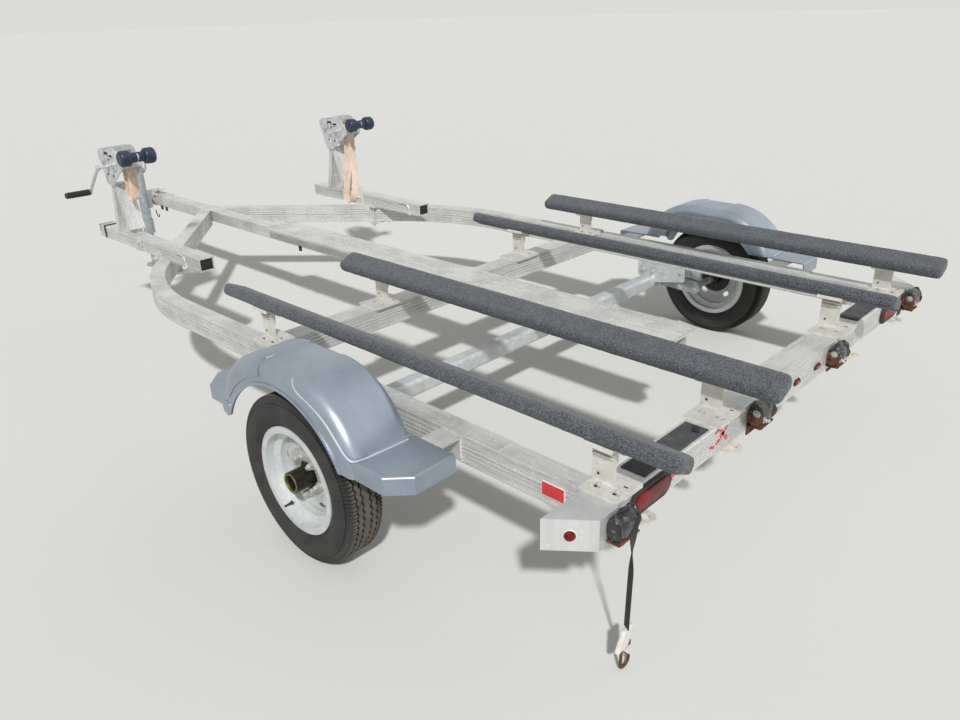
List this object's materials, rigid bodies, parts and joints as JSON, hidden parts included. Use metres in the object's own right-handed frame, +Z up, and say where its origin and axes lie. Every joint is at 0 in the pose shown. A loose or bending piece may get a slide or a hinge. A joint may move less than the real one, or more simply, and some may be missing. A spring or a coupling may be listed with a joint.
{
  "type": "boat trailer",
  "caption": "Low aluminium trailer for a pair of small watercraft: carpeted bunks, bent side rails, winch posts, fenders, swivel jack and ball coupler.",
  "frame": {"origin": "on the ground, under the middle of the trailer's length and width", "axes": "+X to the trailer's right-hand side, +Y forwards to the coupler, +Z up"},
  "size_m": [2.544, 4.5494, 0.942],
  "materials": {
    "aluminium": "mill finish, dulled and scuffed",
    "galvanised": "hot-dip galvanised, matt grey",
    "zinc": "zinc plated, weathered",
    "rusted_steel": "plated steel gone to rust",
    "grip_tape": "gritty dark pad",
    "carpet": "marine carpet, charcoal fleck",
    "tyre": "weathered black rubber",
    "hub_black": "black paint, greasy and rust stained",
    "fender_plastic": "silver grey moulded plastic",
    "roller_rubber": "dark blue-black rubber",
    "lamp_red": "red lens",
    "reel_black": "black case, worn",
    "webbing_light": "faded peach webbing",
    "webbing_black": "black webbing"
  },
  "bodies": {
    "frame": {"rail_left": "aluminium", "rail_right": "aluminium", "tongue": "aluminium", "centre_plank": "aluminium", "front_crossmember": "aluminium", "rear_crossmember": "aluminium", "light_box": "aluminium", "corner_wing_left": "aluminium", "corner_wing_right": "aluminium", "step_pads": "grip_tape", "bunk_outer_left": "carpet", "bunk_inner_left": "carpet", "bunk_inner_right": "carpet", "bunk_outer_right": "carpet", "bunk_brackets_front": "aluminium", "bunk_brackets_rear": "aluminium", "axle_tube": "galvanised", "axle_hangers": "galvanised", "swing_arm_left": "galvanised", "swing_arm_right": "galvanised", "fender_left": "fender_plastic", "fender_right": "fender_plastic", "fender_stays": "aluminium", "winch_beam_left": "aluminium", "winch_beam_right": "aluminium", "beam_clamps": "zinc", "winch_post_left": "aluminium", "winch_post_right": "aluminium", "winch_left": "zinc", "winch_right": "zinc", "roller_arm_left": "rusted_steel", "roller_arm_right": "rusted_steel", "bow_strap_left": "webbing_light", "bow_strap_right": "webbing_light", "coupler": "galvanised", "jack_mount": "rusted_steel", "tail_lamps": "lamp_red", "marker_lamps": "lamp_red", "reflectors": "lamp_red", "tie_rings": "galvanised", "reel_cases": "reel_black", "reel_brackets": "rusted_steel", "rear_strap": "webbing_black", "rear_strap_hook": "rusted_steel"},
    "wheel_left": {"tyre_left": "tyre", "rim_left": "galvanised", "hub_left": "hub_black"},
    "wheel_right": {"tyre_right": "tyre", "rim_right": "galvanised", "hub_right": "hub_black"},
    "jack": {"jack_tube": "zinc", "jack_crank": "zinc"},
    "jack_foot": {"jack_leg": "zinc"},
    "latch": {"coupler_latch": "zinc"},
    "winch_handle_left": {"winch_crank_left": "zinc"},
    "winch_handle_right": {"winch_crank_right": "zinc"},
    "roller_left": {"bow_roller_left": "roller_rubber"},
    "roller_right": {"bow_roller_right": "roller_rubber"}
  },
  "joints": [
    {"name": "wheel_left_spin", "type": "hinge", "parent": "frame", "child": "wheel_left", "pos_m": [-1.199, -1.2297, 0.263], "axis": [1, 0, 0], "continuous": true},
    {"name": "wheel_right_spin", "type": "hinge", "parent": "frame", "child": "wheel_right", "pos_m": [1.199, -1.2297, 0.263], "axis": [1, 0, 0], "continuous": true},
    {"name": "winch_handle_left_turn", "type": "hinge", "parent": "frame", "child": "winch_handle_left", "pos_m": [-0.661, 1.0103, 0.845], "axis": [1, 0, 0], "continuous": true},
    {"name": "bow_roller_left_spin", "type": "hinge", "parent": "frame", "child": "roller_left", "pos_m": [-0.661, 0.7923, 0.903], "axis": [1, 0, 0], "continuous": true},
    {"name": "winch_handle_right_turn", "type": "hinge", "parent": "frame", "child": "winch_handle_right", "pos_m": [0.661, 1.0103, 0.845], "axis": [1, 0, 0], "continuous": true},
    {"name": "bow_roller_right_spin", "type": "hinge", "parent": "frame", "child": "roller_right", "pos_m": [0.661, 0.7923, 0.903], "axis": [1, 0, 0], "continuous": true},
    {"name": "coupler_latch_lift", "type": "hinge", "parent": "frame", "child": "latch", "pos_m": [0, 2.1483, 0.467], "axis": [-1, 0, 0], "range_deg": [0, 70]},
    {"name": "jack_swivel", "type": "hinge", "parent": "frame", "child": "jack", "pos_m": [-0.11, 2.1003, 0.418], "axis": [-1, 0, 0], "range_deg": [0, 90]},
    {"name": "jack_extend", "type": "slide", "parent": "jack", "child": "jack_foot", "axis": [0, 0, 1], "range_m": [-0.06, 0.18]}
  ]
}
